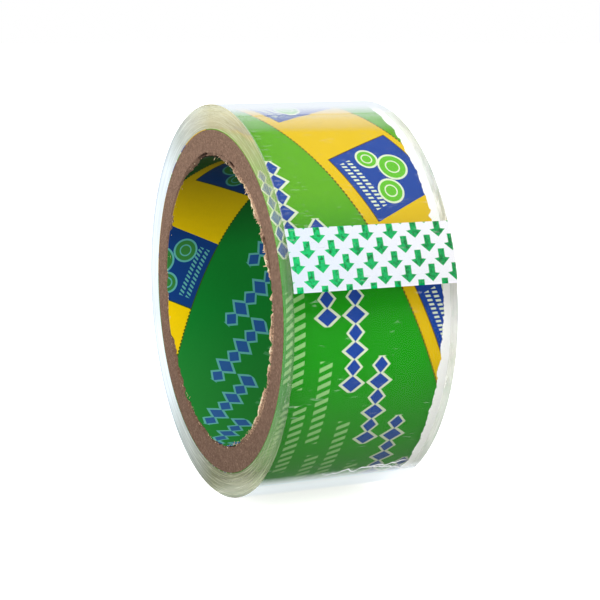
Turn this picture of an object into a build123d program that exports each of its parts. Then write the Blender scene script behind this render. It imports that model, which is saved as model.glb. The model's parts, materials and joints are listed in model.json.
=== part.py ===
from build123d import *
from math import cos, pi, radians, sin
import os

# A roll of clear packaging tape on a spiral-wound paperboard core, standing on its tread.
# The roll's axis is Y and its origin is the middle of the bore. Angles are measured about
# the axis from +X towards +Z. Millimetres throughout.

# --- Roll ---
tape_width = 45.0
bore_diameter = 76.6
core_diameter = 92.0
roll_diameter = 105.0

# --- Core: printed liner, kraft plies, printed wrap ---
ply_count = 12
print_paper = 0.15      # liner and wrap
glue_line = 0.02        # between neighbouring layers
lip_plies = 2           # the slitting knife crushes these plies' edges into a lip
lip_depth = 1.0         # how far the lip sinks at the bore

# --- Tape ---
film = 0.045            # backing and adhesive
film_clearance = 0.015  # a lifted film has left the layer below it

# --- Free end: pull tab and the lead that peels off ---
tab_thickness = 0.12
free_end_angle = 10.4
tab_top_angle = 28.0
tab_lift = 0.5          # how far the tab's free edge stands off the roll
tab_overhang = 0.4      # the tab shows past the film's cut end
lead_segments = 5
segment_sweep = 9.0
segment_gap = 0.1       # degrees between neighbouring lead segments

bore_radius = bore_diameter / 2
core_radius = core_diameter / 2
roll_radius = roll_diameter / 2
lead_root_angle = tab_top_angle + lead_segments * segment_sweep
ply_pitch = (core_radius - bore_radius - 2 * print_paper - glue_line) / ply_count
ply_thickness = ply_pitch - glue_line
first_ply_radius = bore_radius + print_paper + glue_line
lip_radius = first_ply_radius + lip_plies * ply_pitch
lip_slope = lip_depth / (lip_radius - bore_radius)

os.makedirs("parts", exist_ok=True)


def write(piece, name):
    piece.part.label = name
    export_step(piece.part, f"parts/{name}.step")


def end_height(radius):
    """Half the core's width at a radius: full outside the lip, sinking towards the bore."""
    return tape_width / 2 - max(0.0, lip_radius - radius) * lip_slope


def core_layer(inner_radius, outer_radius):
    """One ply of the core, a tube whose ends follow the crushed lip."""
    inner_end = end_height(inner_radius)
    outer_end = end_height(outer_radius)
    with BuildPart() as layer:
        with BuildSketch(Plane.XY):
            with BuildLine():
                Polyline(
                    (inner_radius, -inner_end),
                    (outer_radius, -outer_end),
                    (outer_radius, outer_end),
                    (inner_radius, inner_end),
                    close=True,
                )
            make_face()
        revolve(axis=Axis.Y)
    return layer


def polar(radius, angle):
    return (radius * cos(radians(angle)), radius * sin(radians(angle)))


def film_radius(angle):
    """Outer radius of the outermost turn, which winds in by one film per turn."""
    return roll_radius - film * (angle - free_end_angle) / 360


def curved_strip(inner_radius, thickness, start_angle, sweep, centre=(0, 0)):
    """A strip of sheet across the roll's full width, following an arc about a centre."""
    outer_radius = inner_radius + thickness
    with BuildPart() as strip:
        with BuildSketch(Plane.XZ):
            with BuildLine():
                inner = CenterArc(centre, inner_radius, start_angle, sweep)
                outer = CenterArc(centre, outer_radius, start_angle, sweep)
                Line(inner @ 0, outer @ 0)
                Line(inner @ 1, outer @ 1)
            make_face()
        extrude(amount=tape_width / 2, both=True)
    return strip


# --- Inner liner: the printed paper in the bore ---
inner_liner = core_layer(bore_radius, bore_radius + print_paper)
write(inner_liner, "inner_liner")

# --- Kraft plies, numbered from the bore outwards ---
for number in range(ply_count):
    ply_radius = first_ply_radius + number * ply_pitch
    core_ply = core_layer(ply_radius, ply_radius + ply_thickness)
    write(core_ply, f"core_ply_{number + 1:02d}")

# --- Outer wrap: the printed paper under the tape ---
outer_wrap = core_layer(core_radius - print_paper, core_radius)
write(outer_wrap, "outer_wrap")

# --- Wound tape: every turn but the lead, stepping down by one film where the lead begins ---
turn_points = 48
with BuildPart() as tape_winding:
    with BuildSketch(Plane.XZ):
        with BuildLine():
            turn_angles = [lead_root_angle + 360 * step / turn_points for step in range(turn_points + 1)]
            turn = Spline(*[polar(film_radius(angle), angle) for angle in turn_angles])
            Line(turn @ 0, turn @ 1)
        make_face()
        Circle(core_radius + glue_line, mode=Mode.SUBTRACT)
    extrude(amount=tape_width / 2, both=True)
write(tape_winding, "tape_winding")

# --- Tape lead: the outermost film from the root of the peel to the tab ---
for number in range(lead_segments):
    segment_start = lead_root_angle - (number + 1) * segment_sweep
    tape_lead = curved_strip(
        film_radius(segment_start) - film + film_clearance,
        film,
        segment_start + segment_gap / 2,
        segment_sweep - segment_gap,
    )
    write(tape_lead, f"tape_lead_{number + 1}")

# --- Pull tab and the tape end over it: they leave the roll in a flatter arc, tangent at the top ---
tab_seat = film_radius(tab_top_angle) - film + film_clearance
tab_length = tab_seat * radians(tab_top_angle - free_end_angle)
tab_curve = 1 / (1 / tab_seat - 2 * tab_lift / tab_length**2)
tab_centre = polar(tab_seat - tab_curve, tab_top_angle)
tab_sweep = tab_length / tab_curve * 180 / pi
tab_start = tab_top_angle - tab_sweep
overhang_sweep = tab_overhang / tab_curve * 180 / pi

pull_tab = curved_strip(
    tab_curve,
    tab_thickness,
    tab_start,
    tab_sweep - segment_gap / 2,
    tab_centre,
)
write(pull_tab, "pull_tab")

tape_end = curved_strip(
    tab_curve + tab_thickness + film_clearance,
    film,
    tab_start + overhang_sweep,
    tab_sweep - overhang_sweep - segment_gap / 2,
    tab_centre,
)
write(tape_end, "tape_end")
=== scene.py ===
import json
from math import atan2, cos, degrees, hypot, pi, radians, sin

import bpy
import numpy as np
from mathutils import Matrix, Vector


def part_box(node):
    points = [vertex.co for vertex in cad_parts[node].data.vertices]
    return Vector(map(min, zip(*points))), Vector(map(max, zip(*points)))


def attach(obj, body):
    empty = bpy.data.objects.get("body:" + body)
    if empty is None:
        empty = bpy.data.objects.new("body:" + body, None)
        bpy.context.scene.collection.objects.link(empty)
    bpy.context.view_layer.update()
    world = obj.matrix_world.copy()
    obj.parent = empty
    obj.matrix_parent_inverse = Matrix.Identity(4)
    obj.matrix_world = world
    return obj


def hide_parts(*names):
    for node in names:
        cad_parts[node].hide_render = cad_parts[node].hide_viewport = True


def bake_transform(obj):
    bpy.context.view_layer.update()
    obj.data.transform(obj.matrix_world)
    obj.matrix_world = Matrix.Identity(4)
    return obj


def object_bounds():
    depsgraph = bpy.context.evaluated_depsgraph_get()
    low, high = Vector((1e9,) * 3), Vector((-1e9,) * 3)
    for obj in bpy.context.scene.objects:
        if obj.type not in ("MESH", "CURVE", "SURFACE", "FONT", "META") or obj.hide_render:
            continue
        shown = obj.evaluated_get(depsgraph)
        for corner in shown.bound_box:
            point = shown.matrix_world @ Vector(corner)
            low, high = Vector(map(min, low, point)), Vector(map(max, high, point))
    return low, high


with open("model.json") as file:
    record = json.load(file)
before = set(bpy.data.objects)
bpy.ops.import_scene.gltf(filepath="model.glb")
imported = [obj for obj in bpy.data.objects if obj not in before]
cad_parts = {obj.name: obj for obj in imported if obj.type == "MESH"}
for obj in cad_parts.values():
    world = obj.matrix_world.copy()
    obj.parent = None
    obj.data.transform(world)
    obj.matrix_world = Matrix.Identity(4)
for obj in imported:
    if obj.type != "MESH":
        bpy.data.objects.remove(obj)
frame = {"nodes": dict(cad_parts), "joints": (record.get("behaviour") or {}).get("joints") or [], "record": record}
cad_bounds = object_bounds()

# A roll of clear packaging tape on a printed paperboard core. The roll's axis is Y.
# Angles run about it from +X towards +Z. Mesh lengths are metres; print lengths are millimetres.

MM = 0.001

# ---- sizes, from the frame

joints = {joint["name"]: joint for joint in frame["joints"]}
mounts = {mount["name"]: mount for mount in frame["record"]["mounts"]}
PLY_NODES = sorted(name for name in frame["nodes"] if name.startswith("core_ply_"))
PEEL_JOINTS = sorted(name for name in joints if name.startswith("peel_"))


def joint_place(name):
    """A hinge's distance from the roll's axis and its angle in degrees."""
    x, _, z = joints[name]["pos_m"]
    return hypot(x, z), degrees(atan2(z, x))


HALF_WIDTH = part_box("tape_winding")[1].y
BORE_RADIUS = mounts["core_bore"]["dims"]["r_mm"] * MM
CORE_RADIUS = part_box("outer_wrap")[1].x
LINER_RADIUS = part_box("inner_liner")[1].x
PLY_RADII = [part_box(name)[1].x for name in PLY_NODES]
ROLL_RADIUS, ROOT_ANGLE = joint_place(PEEL_JOINTS[0])
TAB_ANGLE = joint_place("tab_lift")[1]
HALF_SEGMENT = (ROOT_ANGLE - joint_place(PEEL_JOINTS[1])[1]) / 2
tab_low, tab_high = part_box("pull_tab")
FREE_ANGLE = degrees(atan2(tab_low.z, tab_high.x))

FILM = 0.045 * MM
FILM_GAP = 0.015 * MM
TAB_SHEET = 0.12 * MM
GLUE_LINE = 0.02 * MM


# ---- seeded noise

NOISE_GAIN = 1.4  # brings the sum of the layers to about -1 to 1


def wave_noise(angles, seed, counts, roughness=0.6):
    """Irregular noise round the roll, about -1 to 1, closed at the full turn. Each layer has a count
    of random heights round the turn, and more heights weigh less."""
    rng = np.random.default_rng(seed)
    total = np.zeros_like(angles)
    power = 0.0
    for count in counts:
        heights = rng.uniform(-1, 1, count)
        place = np.mod(angles / (2 * pi), 1.0) * count
        low = np.floor(place).astype(int)
        share = place - low
        share = share * share * (3 - 2 * share)
        weight = count ** -roughness
        total += weight * (heights[low % count] * (1 - share) + heights[(low + 1) % count] * share)
        power += weight * weight
    return NOISE_GAIN * total / np.sqrt(power)


def smooth_window(angles, centre, half_span, soft):
    """1 within a stretch of the turn, falling to 0 past its ends. Degrees."""
    away = np.abs((np.degrees(angles) - centre + 180) % 360 - 180)
    return np.clip((half_span + soft - away) / soft, 0, 1)


# ---- meshes


def mesh_object(name, vertices, faces, slots=None, smooth_angle=35):
    """A smooth-shaded object. slots holds a material index per face."""
    mesh = bpy.data.meshes.new(name)
    mesh.from_pydata(vertices, [], faces)
    if slots is not None:
        mesh.polygons.foreach_set("material_index", slots)
    mesh.shade_smooth()
    mesh.set_sharp_from_angle(angle=radians(smooth_angle))
    mesh.update()
    piece = bpy.data.objects.new(name, mesh)
    bpy.context.collection.objects.link(piece)
    return piece


def finish_piece(piece, materials, replaced=None, body="roll"):
    """Gives a piece its materials, in place of a CAD node, on a body."""
    for material in materials:
        piece.data.materials.append(material)
    if replaced is not None:
        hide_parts(replaced)
    if body is not None:
        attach(piece, body)


def write_attribute(piece, name, values):
    layer = piece.data.attributes.new(name, "FLOAT", "POINT")
    layer.data.foreach_set("value", np.asarray(values, np.float32))


def ring_piece(name, profile, segments, shape=None, edge_slots=None, start=0.0):
    """A closed ring about Y. profile is its cross section as (radius, y) corners in order. shape may
    bend it: it takes angles, and radii and ys with a row per corner, and returns the new radii and ys.
    edge_slots holds a material index per side of the section."""
    angles = start + np.arange(segments) * 2 * pi / segments
    corners = np.array(profile, float)
    radii = np.repeat(corners[:, :1], segments, axis=1)
    ys = np.repeat(corners[:, 1:], segments, axis=1)
    if shape is not None:
        radii, ys = shape(angles, radii, ys)
    points = np.stack([radii * np.cos(angles), ys, radii * np.sin(angles)], axis=-1)
    count = len(corners)
    steps = np.arange(segments)
    ahead = (steps + 1) % segments
    faces = []
    for corner in range(count):
        low, high = corner * segments, (corner + 1) % count * segments
        faces += np.stack([low + steps, high + steps, high + ahead, low + ahead], axis=1).tolist()
    slots = np.repeat(edge_slots or [0] * count, segments).tolist()
    return mesh_object(name, points.reshape(-1, 3).tolist(), faces, slots)


def sheet_piece(name, under, over, columns):
    """A thin closed sheet across the roll. under and over hold a function per row, from y to a point,
    and the UV map holds each point's distance along the sheet and its y, in millimetres. The upper
    attribute is 1 on top."""
    rows = len(under)
    stride = len(columns)
    vertices = []
    for side in (under, over):
        for row in range(rows):
            for y in columns:
                x, z = side[row](y)
                vertices.append((x, y, z))
    along = [0.0]
    for row in range(1, rows):
        x0, z0 = over[row - 1](0.0)
        x1, z1 = over[row](0.0)
        along.append(along[-1] + hypot(x1 - x0, z1 - z0) / MM)

    def index(side, row, column):
        return side * rows * stride + row * stride + column

    faces = []
    for row in range(rows - 1):
        for column in range(stride - 1):
            faces.append([index(0, row, column), index(0, row, column + 1),
                          index(0, row + 1, column + 1), index(0, row + 1, column)])
            faces.append([index(1, row, column), index(1, row + 1, column),
                          index(1, row + 1, column + 1), index(1, row, column + 1)])
        for column in (0, stride - 1):
            side = [index(0, row, column), index(0, row + 1, column),
                    index(1, row + 1, column), index(1, row, column)]
            faces.append(side if column == 0 else side[::-1])
    for column in range(stride - 1):
        for row in (0, rows - 1):
            side = [index(0, row, column), index(1, row, column),
                    index(1, row, column + 1), index(0, row, column + 1)]
            faces.append(side if row == 0 else side[::-1])
    piece = mesh_object(name, vertices, faces)
    layer = piece.data.uv_layers.new(name="sheet_mm")
    for loop in piece.data.loops:
        row = (loop.vertex_index % (rows * stride)) // stride
        column = loop.vertex_index % stride
        layer.data[loop.index].uv = (along[row], columns[column] / MM)
    write_attribute(piece, "upper", np.repeat((0.0, 1.0), rows * stride))
    return piece


# ---- shader arithmetic


class Field:
    """A shader output that adds, multiplies and compares like a number."""

    def __init__(self, tree, socket):
        self.tree = tree
        self.socket = socket

    def math(self, operation, *others, clamp=False):
        made = self.tree.nodes.new("ShaderNodeMath")
        made.operation = operation
        made.use_clamp = clamp
        for slot, value in zip(made.inputs, (self, *others)):
            set_input(self.tree, slot, value)
        return Field(self.tree, made.outputs[0])

    def __rsub__(self, other):
        return self.math("MULTIPLY", -1.0).math("ADD", other)

    def clamped(self):
        return self.math("ADD", 0.0, clamp=True)

    def below(self, limit, soft=0.06):
        """1 below the limit and 0 above it, over a soft edge."""
        return ((limit - self) / soft + 0.5).clamped()

    def above(self, limit, soft=0.06):
        """0 below the limit and 1 above it, over a soft edge."""
        return ((self - limit) / soft + 0.5).clamped()


def operation_method(operation):
    def method(self, *others):
        return self.math(operation, *others)
    return method


# The methods that are one math node each. mod stays positive below zero.
for method_name, operation_name in (
    ("__add__", "ADD"), ("__radd__", "ADD"), ("__sub__", "SUBTRACT"), ("__mul__", "MULTIPLY"),
    ("__rmul__", "MULTIPLY"), ("__truediv__", "DIVIDE"), ("abs", "ABSOLUTE"), ("floor", "FLOOR"),
    ("round", "ROUND"), ("sqrt", "SQRT"), ("mod", "FLOORED_MODULO"), ("lowest", "MINIMUM"),
    ("highest", "MAXIMUM"),
):
    setattr(Field, method_name, operation_method(operation_name))


def set_input(tree, slot, value):
    """Links a Field or a socket to an input, or sets the input to a plain value."""
    if isinstance(value, Field):
        tree.links.new(value.socket, slot)
    elif isinstance(value, bpy.types.NodeSocket):
        tree.links.new(value, slot)
    else:
        slot.default_value = value


def new_material(name):
    material = bpy.data.materials.new(name)
    material.use_nodes = True
    material.node_tree.nodes.clear()
    return material, material.node_tree


def node(tree, kind, settings=None, **inputs):
    """A shader node with its inputs set by name, from numbers, colours, sockets or Fields."""
    made = tree.nodes.new(kind)
    for key, value in (settings or {}).items():
        setattr(made, key, value)
    for key, value in inputs.items():
        set_input(tree, made.inputs[key.replace("_", " ")], value)
    return made


def mix_colour(tree, factor, first, second):
    """Mix of two colours; factor is the second's share. The node's colour sockets are 6 and 7 in, 2 out."""
    mixer = node(tree, "ShaderNodeMix", {"data_type": "RGBA"})
    for index, value in ((0, factor), (6, first), (7, second)):
        set_input(tree, mixer.inputs[index], value)
    return mixer.outputs[2]


def painted(tree, base, *coats):
    """A colour with coats over it in turn, each given as its share and its colour."""
    for share, coat in coats:
        base = mix_colour(tree, share, base, coat)
    return base


def mixed(tree, share, first, second):
    """Mix of two shader sockets; share is the second's."""
    mixer = node(tree, "ShaderNodeMixShader")
    for slot, value in zip(mixer.inputs, (share, first, second)):
        set_input(tree, slot, value)
    return mixer.outputs[0]


def colour(red, green, blue):
    """A linear colour from sRGB values of 0 to 255."""
    def linear(value):
        share = value / 255
        return share / 12.92 if share <= 0.04045 else ((share + 0.055) / 1.055) ** 2.4
    return (linear(red), linear(green), linear(blue), 1.0)


def roll_position(tree):
    """Object position in millimetres as x, y and z Fields."""
    place = node(tree, "ShaderNodeTexCoord").outputs["Object"]
    split = node(tree, "ShaderNodeSeparateXYZ", Vector=place)
    return tuple(Field(tree, split.outputs[axis]) * (1 / MM) for axis in range(3))


def sheet_position(tree):
    """Distance along a sheet and across the roll, in millimetres, from the sheet's own map."""
    place = node(tree, "ShaderNodeUVMap", {"uv_map": "sheet_mm"}).outputs[0]
    split = node(tree, "ShaderNodeSeparateXYZ", Vector=place)
    return Field(tree, split.outputs[0]), Field(tree, split.outputs[1])


def point_value(tree, name):
    """A value the mesh holds per point."""
    return Field(tree, node(tree, "ShaderNodeAttribute", {"attribute_name": name}).outputs["Fac"])


def ray_is(tree, kind):
    """1 for rays of a kind, such as Diffuse, and 0 for others."""
    return Field(tree, node(tree, "ShaderNodeLightPath").outputs[f"Is {kind} Ray"])


def facing_away(tree):
    """1 where a surface is met from behind."""
    return Field(tree, node(tree, "ShaderNodeNewGeometry").outputs["Backfacing"])


def noise(tree, scale, detail=3.0, roughness=0.55, vector=None, stretch=None):
    """Noise from 0 to 1. scale counts features per millimetre, and stretch scales the axes first. A
    vector, which may be a tuple of Fields, is in millimetres already."""
    if vector is None:
        vector = node(tree, "ShaderNodeTexCoord").outputs["Object"]
        scale = scale / MM
    elif isinstance(vector, tuple):
        vector = vector_of(tree, *vector)
    if stretch is not None:
        vector = node(tree, "ShaderNodeMapping", Vector=vector, Scale=stretch).outputs[0]
    made = node(tree, "ShaderNodeTexNoise", Vector=vector, Scale=scale, Detail=detail, Roughness=roughness)
    return Field(tree, made.outputs["Fac"])


def vector_of(tree, x, y, z=0.0):
    return node(tree, "ShaderNodeCombineXYZ", X=x, Y=y, Z=z).outputs[0]


def bump(tree, height, distance, strength=1.0):
    """A normal from a height Field, where distance is the height of 1, in metres."""
    return node(tree, "ShaderNodeBump", Strength=strength, Distance=distance, Height=height).outputs[0]


def finish_material(tree, surface, volume=None):
    output = node(tree, "ShaderNodeOutputMaterial", Surface=surface)
    if volume is not None:
        tree.links.new(volume, output.inputs["Volume"])


# ---- the print on the core's papers

# The printed paper is a strip wound in a helix. Its pattern is laid out along and across the strip.
LABEL_PERIOD = 38.0
LABEL_LENGTH = 20.3
LABEL_WIDTH = 21.0
ROW_PERIOD = 18.75
TEXT_TURN = 24.1  # the rows of motifs run at this angle to the strip
MOTIF_LENGTH = 26.0
MOTIF_HALF_HEIGHT = 2.7
MOTIF_COUNT = 6  # lozenges in a motif
MOTIF_ROWS = (17.0, 60.0)  # distances of their middles from the band
SMALL_ROWS = ((30.6, 7.0), (40.3, -1.0), (74.0, 5.0))  # the same, and each row's shift along
SMALL_LENGTH = 24.0  # the small rows' strokes
SMALL_HALF_HEIGHT = 1.7
SMALL_PITCH = 2.3
DUTY = 0.5  # share of a stroke's pitch that is inked
OUTLINE = 0.55  # the pale line round a motif or a disc
LABEL_DISCS = ((5.2, 8.6, 3.6), (10.6, 14.2, 4.1), (15.8, 9.6, 3.1))  # x, y and radius
DISC_RING = 0.55  # share of the radius at which a thin ring is drawn
DISC_RING_HALF = 0.18
LABEL_DASHES = (2.2, 4.3)  # y of the label's two rows of dashes
DASH_LENGTH = 15.0
DASH_HALF_HEIGHT = 0.65
DASH_PITCH = 1.15
BORDER_PITCH = 1.1  # the dotted line along the band's edges
BORDER_HALF = 0.22
LABEL_BORDER_HALF = 0.14
TOP_LIGHT_AND_SHADE_HEIGHT = 20.0  # painted light and shade: the ground colour changes over one side of the roll, about this height, lighter at the top of the wrap and darker at the top of the bore
LOW_SHADE_HEIGHT = -26.0  # and painted shade dulls the print below about this one
LOW_SHADE_SOFT = 34.0
CEILING_SHADE_HEIGHT = 22.0  # painted shade darkens the liner above about this height, for the bore's shaded ceiling
CEILING_SHADE_SOFT = 28.0

OUTSIDE_INKS = {
    "ground": colour(22, 152, 10),
    "top_light_and_shade": colour(90, 166, 16),
    "band": colour(220, 184, 0),
    "label": colour(24, 66, 158),
    "motif": colour(28, 70, 164),
    "outline": colour(214, 226, 200),
    "pale": colour(158, 214, 138),
    "disc": colour(96, 186, 44),
    "border": colour(84, 62, 18),
    "low_shade_share": 0.62,
}
# The liner's own print, in inks mostly darker than the wrap's: partly painted shade for the inside of the bore.
SHADED_INSIDE_INKS = {
    "ground": colour(14, 122, 42),
    "top_light_and_shade": colour(14, 92, 30),
    "band": colour(238, 200, 0),
    "label": colour(16, 58, 124),
    "motif": colour(34, 84, 150),
    "outline": colour(92, 170, 166),
    "pale": colour(70, 146, 90),
    "disc": colour(52, 124, 56),
    "border": colour(50, 76, 16),
    "low_shade_share": 0.25,
}
SHADE = colour(8, 14, 6)
LOW_SHADE = colour(66, 84, 52)
WHITE_PAPER = colour(250, 252, 255)


def helix_place(tree, radius, turn, seam):
    """Distances along and across a paper strip wound on a radius, at an angle to the circumference.
    seam is the lowest distance across, where one turn of the strip meets the next."""
    x, y, z = roll_position(tree)
    around = z.math("ARCTAN2", x) * radius
    along = around * cos(radians(turn)) - y * sin(radians(turn))
    across = around * sin(radians(turn)) + y * cos(radians(turn))
    pitch = 2 * pi * radius
    strip = ((across - seam) / (pitch * sin(radians(turn)))).floor()
    return (
        along - strip * (pitch * cos(radians(turn))),
        across - strip * (pitch * sin(radians(turn))),
    )


def row_place(along, across, first, centre, turn=TEXT_TURN):
    """Distances along and across the nearest slanted row of motifs, from the middle of that row."""
    ahead = along - first
    aside = across - centre
    run = ahead * cos(radians(turn)) - aside * sin(radians(turn))
    rise = ahead * sin(radians(turn)) + aside * cos(radians(turn))
    row = (rise / (ROW_PERIOD * sin(radians(turn)))).round()
    return (
        run - row * (ROW_PERIOD * cos(radians(turn))),
        rise - row * (ROW_PERIOD * sin(radians(turn))),
    )


def lozenges(run, rise, length, half_height, count):
    """Distance to a row of lozenges, big and small in turn, negative inside. The row's ends are cut
    square."""
    pitch = length / count
    cell = (run / pitch + count / 2).floor()
    inside = (run / pitch + count / 2).mod(1.0) * pitch - pitch / 2
    height = half_height * (1.0 - cell.mod(2.0) * 0.3)
    tip = inside.abs() / (pitch * 0.5) + rise.abs() / height - 1.0
    return (tip * 1.45).highest((run.abs() - length / 2) * 4.0)


def hatch(run, rise, length, half_height, pitch):
    """Distance to a row of short slanted strokes, negative inside."""
    slanted = (run + rise * 0.4) / pitch
    stroke = (slanted.mod(1.0) - 0.5).abs() * pitch - pitch * DUTY / 2
    return stroke.highest(rise.abs() - half_height).highest(run.abs() - length / 2)


def disc(x, y, centre_x, centre_y, radius):
    """Distance to a disc, negative inside."""
    return ((x - centre_x) * (x - centre_x) + (y - centre_y) * (y - centre_y)).sqrt() - radius


def strip_print(tree, inks, along, across, band_width, label_start, label_edge, row_start):
    """The print's colour. across is 0 at the yellow band's edge, negative on the band. label_start is
    where a label begins along the strip, label_edge how far into the band, and row_start where the rows
    of motifs begin."""
    z = roll_position(tree)[2]
    # Painted light and shade: towards the top the ground is lighter on the wrap and darker in the bore.
    ground = mix_colour(tree, z.above(TOP_LIGHT_AND_SHADE_HEIGHT, TOP_LIGHT_AND_SHADE_HEIGHT), inks["ground"], inks["top_light_and_shade"])
    dots = (along / BORDER_PITCH).mod(1.0).below(0.6, 0.3)
    base = painted(
        tree, ground, (across.below(0.0), inks["band"]), ((across + band_width).below(0.0), ground),
        (across.abs().below(BORDER_HALF) * dots, inks["border"]),
        ((across + band_width).abs().below(BORDER_HALF) * dots, inks["border"]),
    )
    for centre, shift in SMALL_ROWS:
        run, rise = row_place(along, across, row_start + shift, centre)
        strokes = hatch(run, rise, SMALL_LENGTH, SMALL_HALF_HEIGHT, SMALL_PITCH)
        base = mix_colour(tree, strokes.below(0.0) * 0.85, base, inks["pale"])
    for centre in MOTIF_ROWS:
        run, rise = row_place(along, across, row_start, centre)
        shapes = lozenges(run, rise, MOTIF_LENGTH, MOTIF_HALF_HEIGHT, MOTIF_COUNT)
        base = painted(
            tree, base, (shapes.below(OUTLINE), inks["outline"]), (shapes.below(-0.02), inks["motif"])
        )

    label_x = (along - label_start).mod(LABEL_PERIOD)
    label_y = -1.0 * across - label_edge
    outside = (label_x - LABEL_LENGTH).highest(label_y - LABEL_WIDTH).highest(label_y * -1.0)
    base = painted(
        tree, base, (outside.below(0.0), inks["label"]),
        (outside.abs().below(LABEL_BORDER_HALF), inks["border"]),
    )
    for x, y, radius in LABEL_DISCS:
        edge = disc(label_x, label_y, x, y, radius)
        ring = (edge + radius * DISC_RING).abs()
        base = painted(
            tree, base, (edge.below(0.0), inks["outline"]), (edge.below(-OUTLINE), inks["disc"]),
            (ring.below(DISC_RING_HALF), inks["outline"]),
        )
    for y in LABEL_DASHES:
        strokes = hatch(label_x - LABEL_LENGTH / 2, label_y - y, DASH_LENGTH, DASH_HALF_HEIGHT, DASH_PITCH)
        base = mix_colour(tree, strokes.below(0.0), base, inks["outline"])
    # Painted shade: the print is dulled towards the bottom of the roll.
    return mix_colour(tree, z.below(LOW_SHADE_HEIGHT, LOW_SHADE_SOFT) * inks["low_shade_share"], base, LOW_SHADE)


# ---- materials


# The darkest brown: crushed board, and the colour of painted shade.
BOARD_CRUSHED_AND_SHADE = colour(72, 50, 38)
BOARD_DARK = colour(112, 86, 70)
BOARD_LIGHT = colour(142, 113, 94)
BOARD_FIBRE = colour(184, 150, 124)
BOARD_TORN = colour(200, 164, 134)
BOARD_CREAM = colour(244, 226, 190)


def printed_paper(
    name, inks, sheen, ceiling_shade, radius, turn, seam, band_edge, band_side, band_width,
    label_start, label_edge, row_start, margin,
):
    """Helically wound printed paper. band_side is 1 where the band lies at lower distances across, and
    -1 where it lies at higher ones. margin is the y past which the sheet is left white, in millimetres.
    ceiling_shade, the argument after sheen, is how much painted shade darkens the print towards the top, for a
    bore's shaded ceiling."""
    material, tree = new_material(name)
    along, across = helix_place(tree, radius, turn, seam)
    from_band = (across - band_edge) * (-1.0 * band_side)
    ink = strip_print(tree, inks, along, from_band, band_width, label_start, label_edge, row_start)
    x, y, z = roll_position(tree)
    mottle = noise(tree, 1.6, detail=4.0) * 0.16 + 0.92
    ink = node(tree, "ShaderNodeHueSaturation", Color=ink, Value=mottle).outputs[0]
    frayed = (noise(tree, 0.9, detail=4.0) - 0.5) * 0.9
    torn = (noise(tree, 0.22, detail=3.0) - 0.5) * 3.0
    ink = mix_colour(tree, (y + frayed + torn).above(margin), ink, WHITE_PAPER)
    fibre = noise(tree, 5.0, detail=4.0)
    # Painted shade: the print darkens towards the top, for the bore's shaded ceiling.
    ink = mix_colour(tree, z.above(CEILING_SHADE_HEIGHT, CEILING_SHADE_SOFT) * ceiling_shade, ink, SHADE)
    shader = node(
        tree, "ShaderNodeBsdfPrincipled", Base_Color=ink, Roughness=fibre * 0.2 + 0.45,
        Specular_IOR_Level=sheen, Normal=bump(tree, fibre, 0.02 * MM, 0.5),
    )
    finish_material(tree, shader.outputs[0])
    return material


def kraft_board():
    """Brown paperboard: pulp mottle, cut fibres and faint ply lines, and painted shade that darkens it low down.
    The torn attribute paints its lip, paler where torn, and darker where crushed and in its split, which is
    painted shade."""
    material, tree = new_material("kraft_board")
    x, y, z = roll_position(tree)
    radius = (x * x + z * z).sqrt()
    angle = z.math("ARCTAN2", x)
    rings = noise(tree, 3.2, detail=3.0, vector=(radius, angle * 2.0, y * 0.05))
    pulp = noise(tree, 0.8, detail=6.0, roughness=0.75)
    grain = noise(tree, 1.9, detail=4.0, roughness=0.85)
    torn = point_value(tree, "torn")
    # Painted shade on the lip's crushed slope and in its split.
    crushed = (torn * -1.0 + (pulp - 0.5) * 0.6).above(0.35, 0.5)
    base = painted(
        tree, BOARD_DARK,
        (pulp.above(0.5, 0.4), BOARD_LIGHT),
        # Painted shade: the board darkens towards the bottom.
        (z.below(-5.0, 60.0) * 0.45, BOARD_CRUSHED_AND_SHADE),
        (rings.above(0.6, 0.3) * 0.4, BOARD_DARK),
        (grain.above(0.58, 0.12) * 0.4, BOARD_FIBRE),
        (grain.below(0.43, 0.10) * 0.5, BOARD_CRUSHED_AND_SHADE),
        (crushed * 0.85, BOARD_CRUSHED_AND_SHADE),
        ((torn + (grain - 0.5) * 2.0).above(0.55, 0.25), BOARD_TORN),
        ((torn + (pulp - 0.5) * 2.4).above(1.02, 0.15), BOARD_CREAM),
    )
    relief = grain * 0.7 + pulp * 0.8 + rings * 0.3
    shader = node(
        tree, "ShaderNodeBsdfPrincipled", Base_Color=base, Roughness=grain * 0.15 + 0.82,
        Specular_IOR_Level=0.2, Normal=bump(tree, relief, 0.12 * MM, 0.8),
    )
    finish_material(tree, shader.outputs[0])
    return material


TAPE_IOR = 1.49
EDGE_IOR = 1.2  # the slit edges bend light less, being full of fine gaps
TAPE_ABSORPTION = 8.0  # per metre, at the colour below
TAPE_TINT = (0.55, 0.49, 0.10, 1.0)
FILM_RIM = 0.3  # millimetres of haze along a film's slit edge

# The wrinkles near the bottom, whose white line is a painted highlight: place round the tread, middle and half
# length along y, and slant.
WRINKLES = ((-46.8, 6.0, 11.0, 0.18), (-47.6, 15.0, 8.0, -0.12))
WRINKLE_HALF = 0.4
WRINKLE_WANDER = 11.0

# Where each end's cut face is frosted white, a haze that is partly real and partly painted light where light falls
# on it: the middle of the stretch in degrees, and the cosine of half of its span.
FROST = {-1: (180.0, 0.42), 1: (0.0, -0.35)}


def lamp_share(tree):
    """1 for rays that only carry light, which cross the clear tape without bending."""
    return ray_is(tree, "Shadow").highest(ray_is(tree, "Diffuse"))


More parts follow.
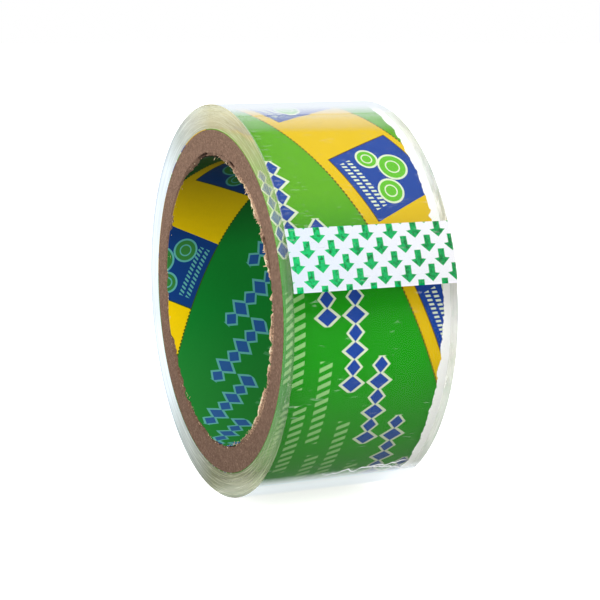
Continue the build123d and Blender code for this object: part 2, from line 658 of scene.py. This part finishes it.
def clear_solid(tree, seen, passing):
    """Ends a material that the eye sees as the seen shader, and that light crosses straight, tinted by
    the passing colour and by the tape's depth."""
    straight = node(tree, "ShaderNodeBsdfTransparent", Color=passing)
    absorb = node(tree, "ShaderNodeVolumeAbsorption", Color=TAPE_TINT, Density=TAPE_ABSORPTION)
    finish_material(tree, mixed(tree, lamp_share(tree), seen, straight.outputs[0]), absorb.outputs[0])


def stacked_shine(tree):
    """Share of light the stack of films throws back: a little face on, nearly all at a glancing angle,
    and a faint veil with a sharp lower edge near the top."""
    facing = Field(tree, node(tree, "ShaderNodeLayerWeight", Blend=0.5).outputs["Facing"])
    upper = roll_position(tree)[2].above(0.0, 40.0)
    glancing = facing.above(0.692 - upper * 0.030, upper * 0.11 + 0.10) * 0.80
    veil = facing.above(0.53, 0.04) * upper * 0.20
    return (facing.math("POWER", 8.0) + glancing.highest(veil) + facing * 0.012 + 0.006).clamped()


def wound_tread():
    """The roll's outside: smooth film with slow waves, fine scratches and two wrinkles, drawn white as a painted
    highlight.
    """
    material, tree = new_material("wound_tape_tread")
    waves = noise(tree, 0.05, detail=2.0, stretch=(1.0, 0.35, 1.0))
    fine = noise(tree, 0.35, detail=3.0)
    scratch = noise(tree, 1.3, detail=2.0, stretch=(1.0, 0.12, 0.5))
    x, y, z = roll_position(tree)
    arc = z.math("ARCTAN2", x) * (ROLL_RADIUS / MM)
    crease = 0.0
    for wrinkle_arc, middle, half, lean in WRINKLES:
        wander = (noise(tree, 0.2, detail=1.5, vector=(y, wrinkle_arc)) - 0.5) * WRINKLE_WANDER
        line = (arc - wander - wrinkle_arc - (y - middle) * lean).abs().below(WRINKLE_HALF, 0.15)
        crease = (line * (y - middle).abs().below(half, 3.0)).highest(crease)
    relief = bump(tree, waves * 1.0 + fine * 0.12 + crease * 0.3, 0.25 * MM, 0.5)
    clear = node(tree, "ShaderNodeBsdfRefraction", IOR=TAPE_IOR, Roughness=0.02, Normal=relief)
    haze = node(tree, "ShaderNodeBsdfDiffuse", Color=(0.9, 0.92, 0.9, 1.0))
    hazed = mixed(tree, scratch.above(0.70, 0.05) * 0.10 + 0.003, clear.outputs[0], haze.outputs[0])
    gloss = node(tree, "ShaderNodeBsdfGlossy", Roughness=0.10, Color=(0.90, 0.95, 1.0, 1.0), Normal=relief)
    # Painted highlight: the white the wrinkles are drawn in.
    bright = node(tree, "ShaderNodeBsdfDiffuse", Color=(0.95, 0.97, 1.0, 1.0))
    seen = mixed(tree, stacked_shine(tree), hazed, gloss.outputs[0])
    clear_solid(tree, mixed(tree, crease * 0.95, seen, bright.outputs[0]), (1.0, 1.0, 1.0, 1.0))
    return material


def wound_edge():
    """The slit end of the wound turns: fine concentric lines of layer edges, frosted white over part of the turn,
    where the white is partly painted light, and straw coloured at the front end's top and bottom, darker at the
    bottom with painted shade."""
    material, tree = new_material("wound_tape_edge")
    x, y, z = roll_position(tree)
    radius = (x * x + z * z).sqrt()
    angle = z.math("ARCTAN2", x)
    layers = noise(tree, 2.2, detail=3.0, roughness=0.7, vector=(radius, angle * 1.2))
    bands = noise(tree, 0.7, detail=2.0, vector=(radius, angle * 0.8))
    grit = noise(tree, 6.0, detail=2.0)
    far = y.above(0.0, 1.0)
    windows = {}
    for side, (centre, limit) in FROST.items():
        turn = radians(centre)
        windows[side] = ((x * cos(turn) + z * sin(turn)) / radius).above(limit, 0.7)
    # Painted light in part: the frosted stretches are white where light falls.
    white = windows[-1] * (1.0 - far) + windows[1] * far
    straw = (z.abs() / radius).above(0.64, 0.5) * (1.0 - far)
    clear = node(
        tree, "ShaderNodeBsdfPrincipled", Base_Color=(0.985, 0.985, 0.965, 1.0), IOR=EDGE_IOR,
        Transmission_Weight=1.0, Roughness=layers * 0.14 + 0.05,
        Normal=bump(tree, layers, 0.05 * MM, 0.6),
    )
    # Painted shade: the straw tone is darker towards the bottom.
    under = mix_colour(tree, z.above(0.0, 40.0), colour(138, 143, 108), colour(190, 182, 138))
    tone = mix_colour(tree, straw, colour(140, 200, 96), under)
    blotch = noise(tree, 0.28, detail=3.0).above(0.55, 0.12)
    # Painted shade: the frost greys towards the front end's outer edge.
    outer = radius.above(ROLL_RADIUS / MM - 0.9, 1.6) * (1.0 - far)
    pale = mix_colour(tree, outer * 0.75, colour(238, 249, 255), colour(196, 212, 228))
    # Painted light: the far end's frost is pure white, for the bright backdrop behind it.
    pale = mix_colour(tree, far, pale, colour(255, 255, 255))
    pale = mix_colour(tree, far * blotch * 0.6, pale, colour(204, 212, 208))
    lines = layers.above(0.55, 0.12)
    tone = mix_colour(tree, lines * 0.35, tone, colour(230, 234, 206))
    tone = mix_colour(tree, white, tone, pale)
    frost = node(tree, "ShaderNodeBsdfDiffuse", Color=tone)
    specks = grit.above(0.62, 0.1) * 0.10 + 0.02
    frosted = white * (bands * 0.4 + 0.66) * (1.0 - far * (1.0 - blotch) * 0.3)
    share = (frosted + specks).highest(straw * (bands * 0.5 + 0.40)) + lines * 0.14
    seen = mixed(tree, share.clamped(), clear.outputs[0], frost.outputs[0])
    clear_solid(tree, seen, (0.96, 0.965, 0.95, 1.0))
    return material


def single_film():
    """One layer of clear film: it doesn't bend what is behind it. It has a glossy front, a few hazy
    scratches and a hazy slit edge."""
    material, tree = new_material("clear_film")
    along, across = sheet_position(tree)
    smear = noise(tree, 0.35, detail=4.0, vector=(along * 0.4, across))
    scratch = noise(tree, 1.2, detail=2.0, vector=(along, across * 0.15))
    facing = Field(tree, node(tree, "ShaderNodeFresnel", IOR=TAPE_IOR).outputs[0])
    shine = facing * (1.0 - facing_away(tree)) * 0.35
    gloss = node(
        tree, "ShaderNodeBsdfGlossy", Roughness=smear * 0.06 + 0.02,
        Normal=bump(tree, smear, 0.05 * MM, 0.4),
    )
    clear = node(tree, "ShaderNodeBsdfTransparent", Color=(0.985, 0.99, 0.98, 1.0))
    haze = node(tree, "ShaderNodeBsdfDiffuse", Color=(0.86, 0.88, 0.86, 1.0))
    rim = across.abs().above(HALF_WIDTH / MM - FILM_RIM, 0.2) * 0.12
    cloudy = scratch.above(0.68, 0.05) * 0.06 + 0.008 + rim
    hazed = mixed(tree, cloudy, clear.outputs[0], haze.outputs[0])
    finish_material(tree, mixed(tree, shine, hazed, gloss.outputs[0]))
    return material


ARROW_PITCH = 6.6  # across the roll
ARROW_ROW = 3.75  # between rows, which step aside by half a pitch
ARROW_LENGTH = 4.45
ARROW_HALF_WIDTH = 2.15
ARROW_STEM = 0.88  # half the stem's width
ARROW_HEAD = 2.35
ARROW_BARB = 0.35  # how far the barbs slant back
FIRST_ROW = 4.06  # how much of the pattern the tab's upper edge cuts off
FIRST_COLUMN = 1.0  # and how much the middle of the width is off an arrow's edge


def tab_print(tree, along, across):
    """Distance to rows of arrows that point to the free end, negative inside. along grows towards the
    free end."""
    nearest = None
    for row in (0, 1):
        u = (along + (FIRST_ROW + row * ARROW_ROW)).mod(2 * ARROW_ROW)
        v = (across + (FIRST_COLUMN + row * ARROW_PITCH / 2)).mod(ARROW_PITCH) - ARROW_PITCH / 2
        shoulder = ARROW_LENGTH - ARROW_HEAD + v.abs() * (ARROW_BARB / ARROW_HALF_WIDTH)
        stem = (v.abs() - ARROW_STEM).highest(u - (ARROW_LENGTH - ARROW_HEAD + 0.4)).highest(u * -1.0)
        tip = (ARROW_LENGTH - u) * (ARROW_HALF_WIDTH / (ARROW_HEAD - ARROW_BARB))
        head = ((v.abs() - tip) * 0.7).highest(shoulder - u)
        arrow = stem.lowest(head)
        nearest = arrow if nearest is None else nearest.lowest(arrow)
    return nearest


def tab_paper():
    """Cool white tab printed on top. Its green arrows are darker where the ink pooled along their
    edges, and show faintly from below."""
    material, tree = new_material("tab_paper")
    along, across = sheet_position(tree)
    place = vector_of(tree, along, across)
    spread = noise(tree, 2.4, detail=3.0, vector=place)
    pools = noise(tree, 0.9, detail=2.0, vector=(along + 40.0, across))
    towards_far = (across / (2 * HALF_WIDTH / MM) + 0.5).clamped()
    ink = mix_colour(tree, towards_far, colour(6, 190, 108), colour(0, 144, 72))
    arrows = tab_print(tree, along, across)
    pooled = (pools + spread * 0.5).above(0.80, 0.16) * arrows.below(-0.18, 0.3)
    ink = mix_colour(tree, pooled * 0.85, ink, colour(0, 92, 42))
    paper = mix_colour(tree, towards_far, colour(209, 216, 233), colour(224, 222, 230))
    strength = point_value(tree, "upper") * 0.86 + 0.14
    printed = (arrows + (spread - 0.5) * 0.16).below(0.0, 0.1) * strength
    base = mix_colour(tree, printed, paper, ink)
    grain = noise(tree, 6.0, detail=3.0, vector=place)
    shader = node(
        tree, "ShaderNodeBsdfPrincipled", Base_Color=base, Roughness=0.6, Specular_IOR_Level=0.0,
        Normal=bump(tree, grain, 0.01 * MM, 0.4),
    )
    finish_material(tree, shader.outputs[0])
    return material


# ---- the core

RING_STEPS = 720
LIP_STEPS = 1440
RIM = 0.05 * MM  # a ring's end rows lie within this of its end
LIP_PLIES = 2
LIP_INNER = BORE_RADIUS
LIP_OUTER = PLY_RADII[LIP_PLIES - 1]
LIP_DEPTH = HALF_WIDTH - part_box("inner_liner")[1].y
BENT_DEPTH = 1.5 * MM  # how far in from its end a sheet or a ply bends
SPLIT_WIDTH = 0.95 * MM
SPLIT_CENTRE = {-1: 52, 1: 215}  # degrees; where each end's board has split
LIP_FLARE = 0.75 * MM  # how far the crushed lip leans away from the bore
BURR_LEAN = 0.3 * MM  # and how far the burr leans into it
LINER_FLARE = 0.35  # the liner's share of that flare
WRAP_SETBACK = 0.04 * MM  # how far the wrap falls short of the roll's end
BURR_CENTRE = {-1: 8, 1: 200}  # degrees; where each end's lip is torn up instead of crushed
FINE_WAVES = (71, 113, 191, 307)


def burr_share(angles, side):
    """1 where the lip is torn up into a burr, 0 where the knife crushed it."""
    return smooth_window(angles, BURR_CENTRE[side], 52, 34)


def torn_share(angles, side):
    """How badly the lip is torn round the turn."""
    patches = wave_noise(angles, 31 + side, (2, 3, 5, 9, 17, 33), 0.45)
    return np.clip(0.12 + 0.45 * patches + 0.75 * burr_share(angles, side), 0, 1)


def board_sink(angles, radii, side):
    """How far the core's end lies below the roll's end: saw marks, the crushed lip and its burr."""
    saw = 0.035 * MM * (1 + wave_noise(angles, 5 + side, (7, 19, 41, 83), 0.2))
    into_lip = np.clip((LIP_OUTER - radii) / (LIP_OUTER - LIP_INNER), 0, 1)
    rough = wave_noise(angles + radii / LIP_INNER, 11 + side, FINE_WAVES, 0.1)
    lumps = wave_noise(angles - 3 * radii / LIP_INNER, 41 + side, (31, 53, 89), 0.2)
    slow = wave_noise(angles, 17 + side, (2, 3, 5, 11), 0.4)
    burr = burr_share(angles, side)
    crushed = LIP_DEPTH * (0.24 + 0.14 * slow) + (0.30 * lumps + 0.18 * rough) * MM
    raised = np.maximum(-0.24 + 0.40 * lumps + 0.44 * rough, -0.5) * MM
    crease = 0.08 * MM * (into_lip > 0)
    return saw + crease + np.sqrt(into_lip) * ((1 - burr) * crushed * np.sqrt(into_lip) + burr * raised)


def lip_lean(angles, radii, side):
    """How far the lip leans away from the bore, negative where it leans in."""
    into_lip = np.clip((LIP_OUTER - radii) / (LIP_OUTER - LIP_INNER), 0, 1)
    ragged = wave_noise(angles, 61 + side, FINE_WAVES, 0.15)
    lumps = wave_noise(angles, 67 + side, (29, 47, 83), 0.2)
    burr = burr_share(angles, side)
    rough = ((0.16 + 0.2 * burr) * ragged + 0.24 * lumps) * MM
    return into_lip * (rough + LIP_FLARE - (LIP_FLARE + BURR_LEAN) * burr)


def split_width(angles, side):
    """The open split between the lip plies and the rest of the board: short cracks in a row."""
    spans = smooth_window(angles, SPLIT_CENTRE[side], 46, 12)
    gaps = np.clip(5 * wave_noise(angles, 23 + side, (17, 29, 61), 0.1) - 0.3, 0, 1)
    return SPLIT_WIDTH * spans * gaps


def ply_shape(number, inner, outer):
    """The shape of a ply's ends, for ring_piece."""
    def shape(angles, radii, ys):
        bent_r, bent_y = radii.copy(), ys.copy()
        for row in range(len(ys)):
            side = -1 if ys[row, 0] < 0 else 1
            if abs(ys[row, 0]) < HALF_WIDTH - RIM:
                continue
            radius = radii[row]
            if number == LIP_PLIES - 1:
                share = np.clip((radius - inner) / (outer - inner), 0, 1)
                bent_r[row] = radius - share * split_width(angles, side) / 2
            elif number == LIP_PLIES:
                share = np.clip((outer - radius) / (outer - inner), 0, 1)
                bent_r[row] = radius + share * split_width(angles, side) / 2
            if number < LIP_PLIES:
                bent_r[row] += lip_lean(angles, radius, side)
            if number >= LIP_PLIES:
                radius = np.maximum(radius, LIP_OUTER)
            sink = board_sink(angles, radius, side)
            step = 0.012 * MM * (1 + wave_noise(angles, 100 * (number + 1) + side, (13, 29, 61), 0.2))
            bent_y[row] = ys[row] - side * (sink + step)
        return bent_r, bent_y
    return shape


def ring_profile(inner, outer, half_width, setback, end_rows=3):
    """Corners of a tube's section: its ends in rows, and a line set back from each end."""
    across = np.linspace(inner, outer, end_rows)
    corners = [(radius, -half_width) for radius in across]
    corners += [(outer, -half_width + setback), (outer, half_width - setback)]
    corners += [(radius, half_width) for radius in across[::-1]]
    corners += [(inner, half_width - setback), (inner, -half_width + setback)]
    return corners


def lip_paint_and_shade(piece):
    """What the board's material paints on the lip, per point: above 0 torn fibre, below 0 darker, which is painted
    shade on the crushed slope and in the open split.
    """
    points = np.array([vertex.co for vertex in piece.data.vertices])
    angles = np.arctan2(points[:, 2], points[:, 0])
    radii = np.hypot(points[:, 0], points[:, 2])
    ys = points[:, 1]
    share, burr, split = (
        np.where(ys < 0, amount(angles, -1), amount(angles, 1))
        for amount in (torn_share, burr_share, split_width)
    )
    near_end = np.clip((np.abs(ys) - (HALF_WIDTH - 2.2 * MM)) / (0.4 * MM), 0, 1)
    edge = np.clip((LIP_INNER + 0.45 * MM - radii) / (0.25 * MM), 0, 1)
    crack_shade = split / SPLIT_WIDTH * np.clip((radii - LIP_OUTER + 0.5 * MM) / (0.2 * MM), 0, 1)
    # Painted shade: the crushed slope away from the burr and the open split are painted dark.
    painted = 0.9 * share + (0.2 + 0.35 * burr) * edge - 0.20 * (1 - burr) * (1 - share) * (1 - edge)
    return near_end * (painted - 2.5 * crack_shade)


def build_core(board):
    inner = LINER_RADIUS + GLUE_LINE
    for number, outer in enumerate(PLY_RADII):
        in_lip = number < LIP_PLIES
        setback = BENT_DEPTH + LIP_DEPTH if in_lip else BENT_DEPTH
        profile = ring_profile(inner, outer, HALF_WIDTH, setback, end_rows=5 if in_lip else 3)
        steps = LIP_STEPS if number <= LIP_PLIES else RING_STEPS
        ply = ring_piece(f"kraft_ply_{number + 1:02d}", profile, steps, ply_shape(number, inner, outer))
        if in_lip:
            write_attribute(ply, "torn", lip_paint_and_shade(ply))
        finish_piece(ply, [board], PLY_NODES[number])
        inner = outer + GLUE_LINE


def liner_shape(angles, radii, ys):
    """The liner's ends are torn in nicks, and open with the crushed lip."""
    bent_r, bent_y = radii.copy(), ys.copy()
    for row in range(len(ys)):
        side = -1 if ys[row, 0] < 0 else 1
        if abs(ys[row, 0]) < HALF_WIDTH - LIP_DEPTH - 0.5 * MM:
            continue
        nicks = wave_noise(angles, 53 + side, FINE_WAVES, 0.15)
        lumps = wave_noise(angles, 59 + side, (13, 37, 59, 83), 0.2)
        torn = -0.45 + 0.45 * lumps + 0.32 * nicks
        bent_y[row] = ys[row] - side * np.maximum(torn, -0.8) * MM
        bent_r[row] = radii[row] + LINER_FLARE * LIP_FLARE * (1 - burr_share(angles, side))
    return bent_r, bent_y


def build_paper(name, material, section, steps, shape, replaced):
    """A printed sheet. section holds its inner and outer radius and half of its width."""
    paper = ring_piece(name, ring_profile(*section, BENT_DEPTH, end_rows=2), steps, shape)
    finish_piece(paper, [material], replaced)


FIBRES = 260  # at each end
FIBRE_RINGS = 5
FIBRE_SIDES = 5
FIBRE_TORN = 0.95  # as pale as torn board
ACROSS = np.array([0, 1, 0])


def fibre_root(rng, side):
    """A place on the lip for a fibre to stand, more often where the lip is torn."""
    while True:
        angle = rng.uniform(0, 2 * pi)
        if rng.uniform() < 0.12 + 0.88 * torn_share(np.array([angle]), side)[0]:
            break
    radius = rng.uniform(LIP_INNER + 0.1 * MM, LIP_INNER + 1.0 * MM)
    sink = board_sink(np.array([angle]), np.array([radius]), side)[0]
    return angle, radius, HALF_WIDTH - sink - 0.08 * MM


def build_fibres(board, name, side):
    """Short torn fibres and flakes that stand off the lip at one end of the core."""
    rng = np.random.default_rng(71 + side)
    vertices, faces = [], []
    for _ in range(FIBRES):
        angle, radius, height = fibre_root(rng, side)
        outward = np.array([cos(angle), 0, sin(angle)])
        tangent = np.array([-sin(angle), 0, cos(angle)])
        axis = ACROSS * side
        lean = tangent * rng.normal(0, 1.0) - outward * rng.uniform(0.1, 1.0)
        lean = lean + axis * rng.uniform(-0.1, 0.5)
        lean = lean / np.linalg.norm(lean)
        curl = rng.normal(0, 0.5, 3)
        length = rng.uniform(0.3, 1.0) * MM
        thick = rng.uniform(0.03, 0.09) * MM
        flake = rng.uniform(1.2, 3.0)
        base = len(vertices)
        for ring in range(FIBRE_RINGS):
            share = ring / (FIBRE_RINGS - 1)
            centre = outward * radius + axis * height + (lean + curl * 0.35 * share) * length * share
            width = thick * (1 - 0.75 * share * share)
            for corner in range(FIBRE_SIDES):
                turn = 2 * pi * corner / FIBRE_SIDES
                vertices.append(centre + (tangent * cos(turn) * flake + ACROSS * sin(turn)) * width)
        for ring in range(FIBRE_RINGS - 1):
            low = base + ring * FIBRE_SIDES
            high = low + FIBRE_SIDES
            for corner in range(FIBRE_SIDES):
                after = (corner + 1) % FIBRE_SIDES
                faces.append([low + corner, low + after, high + after, high + corner])
        tip = base + (FIBRE_RINGS - 1) * FIBRE_SIDES
        faces.append([base + corner for corner in range(FIBRE_SIDES)][::-1])
        faces.append([tip + corner for corner in range(FIBRE_SIDES)])
    fibres = mesh_object(name, [tuple(point) for point in vertices], faces, smooth_angle=60)
    write_attribute(fibres, "torn", np.full(len(vertices), FIBRE_TORN))
    finish_piece(fibres, [board])


# ---- the tape

EDGE_ROWS = 28  # steps in the winding's ends
WETTED = 0.03 * MM  # how far the winding sinks into the wrap


def turn_radius(angle):
    """The wound turns' outer radius at an angle past the lead's root, winding in by a film a turn."""
    return ROLL_RADIUS - FILM_GAP - FILM * (angle - ROOT_ANGLE) / 360


def winding_shape(angles, radii, ys):
    """The winding's spiral outside, and ends whose layers aren't quite flush."""
    bent_r, bent_y = radii.copy(), ys.copy()
    spiral = turn_radius(np.degrees(angles))
    rng = np.random.default_rng(7)
    for row in range(len(ys)):
        if radii[row, 0] > CORE_RADIUS:
            share = (radii[row] - CORE_RADIUS) / (ROLL_RADIUS - CORE_RADIUS)
            bent_r[row] = CORE_RADIUS + share * (spiral - CORE_RADIUS)
        if abs(ys[row, 0]) > HALF_WIDTH - RIM / 2:
            side = -1 if ys[row, 0] < 0 else 1
            weave = wave_noise(angles, 200 + row, (1, 2, 3, 5), 0.7)
            bent_y[row] = ys[row] - side * MM * (0.015 + 0.02 * rng.uniform() + 0.012 * (1 + weave))
    return bent_r, bent_y


def build_winding(tread, edge):
    """The wound turns, sunk a hair into the wrap so that the film wets the paper with no air between."""
    inner = CORE_RADIUS - WETTED
    across = np.linspace(CORE_RADIUS, ROLL_RADIUS - RIM, EDGE_ROWS)
    corners = [(inner, -HALF_WIDTH)] + [(radius, -HALF_WIDTH) for radius in across]
    corners += [(ROLL_RADIUS, -HALF_WIDTH + RIM), (ROLL_RADIUS, HALF_WIDTH - RIM)]
    corners += [(radius, HALF_WIDTH) for radius in across[::-1]] + [(inner, HALF_WIDTH)]
    tread_edge = EDGE_ROWS + 1
    slots = [0 if corner == tread_edge else 1 for corner in range(len(corners))]
    winding = ring_piece("wound_film", corners, RING_STEPS, winding_shape, slots, radians(ROOT_ANGLE))
    finish_piece(winding, [tread, edge], "tape_winding")


SHEET_COLUMNS = list(np.linspace(-HALF_WIDTH, HALF_WIDTH, 46))
ROW_STEP = 0.75  # degrees
TAB_RAMP = 2.0  # degrees over which the film climbs onto the tab
TAB_LIFT = 0.5 * MM
TAB_SKEW = 0.3  # the tab's near corner stands off more than its far one
FILM_SETBACK = 0.45  # degrees by which the film's cut end falls short of the tab's


def lead_seat(angle):
    """Radius of the lifting film's underside."""
    return ROLL_RADIUS - FILM + FILM * (ROOT_ANGLE - angle) / 360


def tab_stand(angle, y):
    """How far the tab stands off its seat, rising towards the free end."""
    share = max(0.0, (TAB_ANGLE - angle) / (TAB_ANGLE - FREE_ANGLE))
    return TAB_LIFT * (1 - TAB_SKEW * y / HALF_WIDTH) * share * share


def film_under(angle, y):
    """Radius of the film's underside, which climbs onto the tab."""
    climb = min(1.0, max(0.0, (TAB_ANGLE + TAB_RAMP - angle) / TAB_RAMP))
    climb = climb * climb * (3 - 2 * climb)
    return lead_seat(angle) + climb * (TAB_SHEET + FILM_GAP) + tab_stand(angle, y)


def tab_under(angle, y):
    """Radius of the tab's underside."""
    return lead_seat(angle) + tab_stand(angle, y)


def sheet_rows(start, end, radius_of, thickness):
    """Row functions for a sheet between two angles, underside and top."""
    count = max(2, round(abs(end - start) / ROW_STEP) + 1)
    under, over = [], []
    for angle in np.linspace(start, end, count):
        turn = radians(angle)
        for rows, extra in ((under, 0.0), (over, thickness)):
            rows.append(lambda y, a=angle, t=turn, e=extra: (
                (radius_of(a, y) + e) * cos(t), (radius_of(a, y) + e) * sin(t)))
    return under, over


def build_lead(film):
    """The peeling film, one piece per hinge, each cut midway between hinges and spanning its own."""
    for number, name in enumerate(PEEL_JOINTS):
        hinge = joint_place(name)[1]
        start = hinge if number == 0 else hinge + HALF_SEGMENT
        end = hinge - HALF_SEGMENT
        under, over = sheet_rows(start, end, film_under, FILM)
        piece = sheet_piece(f"lead_film_{number + 1}", under, over, SHEET_COLUMNS)
        finish_piece(piece, [film], f"tape_lead_{number + 1}", body=None)
        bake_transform(piece)


def build_tab(paper, film):
    """The film's end and the tab under it, from about the tab's hinge to the free end."""
    under, over = sheet_rows(TAB_ANGLE + HALF_SEGMENT, FREE_ANGLE + FILM_SETBACK, film_under, FILM)
    end_film = sheet_piece("tab_film", under, over, SHEET_COLUMNS)
    finish_piece(end_film, [film], "tape_end", body=None)
    under, over = sheet_rows(TAB_ANGLE, FREE_ANGLE, tab_under, TAB_SHEET)
    sheet = sheet_piece("tab_sheet", under, over, SHEET_COLUMNS)
    finish_piece(sheet, [paper], "pull_tab", body=None)
    for piece in (end_film, sheet):
        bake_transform(piece)


# ---- build

outside_print = printed_paper(
    "printed_wrap", OUTSIDE_INKS, sheen=0.0, ceiling_shade=0.0, radius=CORE_RADIUS / MM,
    turn=24.1, seam=-60.0, band_edge=11.6, band_side=1.0, band_width=26.3,
    label_start=20.2, label_edge=3.3, row_start=-1.9, margin=20.2,
)
inside_print = printed_paper(
    "printed_liner", SHADED_INSIDE_INKS, sheen=0.06, ceiling_shade=0.82, radius=BORE_RADIUS / MM,
    turn=24.4, seam=-10.0, band_edge=38.9, band_side=-1.0, band_width=24.0,
    label_start=103.2, label_edge=0.0, row_start=130.8, margin=30.0,
)
board = kraft_board()
film = single_film()
build_core(board)
liner_section = (BORE_RADIUS, LINER_RADIUS, HALF_WIDTH - LIP_DEPTH)
wrap_section = (PLY_RADII[-1] + GLUE_LINE, CORE_RADIUS, HALF_WIDTH - WRAP_SETBACK)
build_paper("printed_liner", inside_print, liner_section, LIP_STEPS, liner_shape, "inner_liner")
build_paper("printed_wrap", outside_print, wrap_section, RING_STEPS, None, "outer_wrap")
build_fibres(board, "lip_fibres_front", -1)
build_fibres(board, "lip_fibres_back", 1)
build_winding(wound_tread(), wound_edge())
build_lead(film)
build_tab(tab_paper(), film)


# ---- studio

CAMERA_AZIMUTH = 66.15
CAMERA_ELEVATION = 9.19
CAMERA_DISTANCE = 0.494
CAMERA_AIM = Vector((0.95, 1.75, -1.02)) * MM
CAMERA_LENS = 108.84
SENSOR = 36.0
FLOOR_RADIUS = 6.0
FLOOR_STEPS = 96

AMBIENT_LIGHT = 0.92
BACKDROP_LIGHT = 1.5  # seen through clear tape
FLOOR_GLOW = 0.7  # the floor is a lit table, so its shadows are faint
FLOOR_BOUNCE = 0.72  # share of its brightness that lights the roll from below
FLOOR_MIRRORED = 0.6  # share that the tape's gloss reflects
ROOM_LIGHT = 0.45  # what reflections see away from the strip light
STRIP_LIGHT = 1.0
STRIP_LOW = 0.0  # sines of the strip's elevations
STRIP_HIGH = 0.74
STRIP_TOWARDS = Vector((0.9, -0.4, 0.0))  # from the strip to the roll


def build_floor():
    """A white table. The eye and mirrors see it brighter than the light it gives."""
    height = cad_bounds[0].z
    vertices = [(0.0, 0.0, height)]
    for step in range(FLOOR_STEPS):
        turn = 2 * pi * step / FLOOR_STEPS
        vertices.append((FLOOR_RADIUS * cos(turn), FLOOR_RADIUS * sin(turn), height))
    faces = [(0, 1 + step, 1 + (step + 1) % FLOOR_STEPS) for step in range(FLOOR_STEPS)]
    floor = mesh_object("floor", vertices, faces)
    material, tree = new_material("floor")
    tone = noise(tree, 0.02, detail=2.0) * 0.01 + 0.945
    diffuse = ray_is(tree, "Diffuse")
    mirrored = ray_is(tree, "Glossy") * (1.0 - ray_is(tree, "Transmission"))
    tone = tone * (1.0 - diffuse * (1.0 - FLOOR_BOUNCE) - mirrored * (1.0 - FLOOR_MIRRORED))
    shader = node(
        tree, "ShaderNodeBsdfPrincipled", Base_Color=vector_of(tree, tone, tone, tone),
        Roughness=0.6, Specular_IOR_Level=0.2,
    )
    glow = node(tree, "ShaderNodeEmission", Strength=(1.0 - diffuse) * FLOOR_GLOW)
    lit = node(tree, "ShaderNodeAddShader")
    tree.links.new(shader.outputs[0], lit.inputs[0])
    tree.links.new(glow.outputs[0], lit.inputs[1])
    finish_material(tree, lit.outputs[0])
    floor.data.materials.append(material)


def build_world():
    """White all round. Less of it falls on the scene than the eye sees behind it, and reflections
    meet a grey room with a bright strip light along its far side."""
    world = bpy.data.worlds.new("studio")
    bpy.context.scene.world = world
    world.use_nodes = True
    tree = world.node_tree
    tree.nodes.clear()
    direction = node(tree, "ShaderNodeTexCoord").outputs["Generated"]
    split = node(tree, "ShaderNodeSeparateXYZ", Vector=direction)
    x, y, z = (Field(tree, split.outputs[axis]) for axis in range(3))
    behind = x * -STRIP_TOWARDS.x + y * -STRIP_TOWARDS.y
    strip = behind.above(0.35, 0.2) * z.above(STRIP_LOW, 0.03) * z.below(STRIP_HIGH, 0.12)
    reflected = strip * (STRIP_LIGHT - ROOM_LIGHT) + ROOM_LIGHT
    diffuse = ray_is(tree, "Diffuse")
    through = ray_is(tree, "Transmission")
    glossy = ray_is(tree, "Glossy") * (1.0 - through)
    plain = 1.0 + through * (BACKDROP_LIGHT - 1.0)
    seen = glossy * reflected + (1.0 - glossy) * plain
    strength = diffuse * AMBIENT_LIGHT + (1.0 - diffuse) * seen
    background = node(tree, "ShaderNodeBackground", Color=(1.0, 1.0, 1.0, 1.0), Strength=strength)
    node(tree, "ShaderNodeOutputWorld", Surface=background.outputs[0])


def build_sun(name, towards, strength, angle):
    """A sun lamp that shines from a direction."""
    lamp = bpy.data.lights.new(name, "SUN")
    lamp.energy = strength
    lamp.angle = radians(angle)
    holder = bpy.data.objects.new(name, lamp)
    holder.rotation_mode = "QUATERNION"
    holder.rotation_quaternion = Vector(towards).to_track_quat("Z", "Y")
    bpy.context.collection.objects.link(holder)


def build_camera():
    """The camera the looks are matched from."""
    turn, rise = radians(CAMERA_AZIMUTH), radians(CAMERA_ELEVATION)
    back = Vector((sin(turn) * cos(rise), -cos(turn) * cos(rise), sin(rise)))
    camera = bpy.data.cameras.new("camera")
    camera.lens = CAMERA_LENS
    camera.sensor_width = SENSOR
    camera.clip_start = 0.01
    holder = bpy.data.objects.new("camera", camera)
    holder.location = CAMERA_AIM + back * CAMERA_DISTANCE
    holder.rotation_mode = "QUATERNION"
    holder.rotation_quaternion = (-back).to_track_quat("-Z", "Y")
    bpy.context.collection.objects.link(holder)
    bpy.context.scene.camera = holder


build_floor()
build_world()
build_sun("key", towards=(0.50, -0.30, 0.95), strength=1.75, angle=45)
build_camera()
bpy.context.scene.view_settings.view_transform = "Standard"
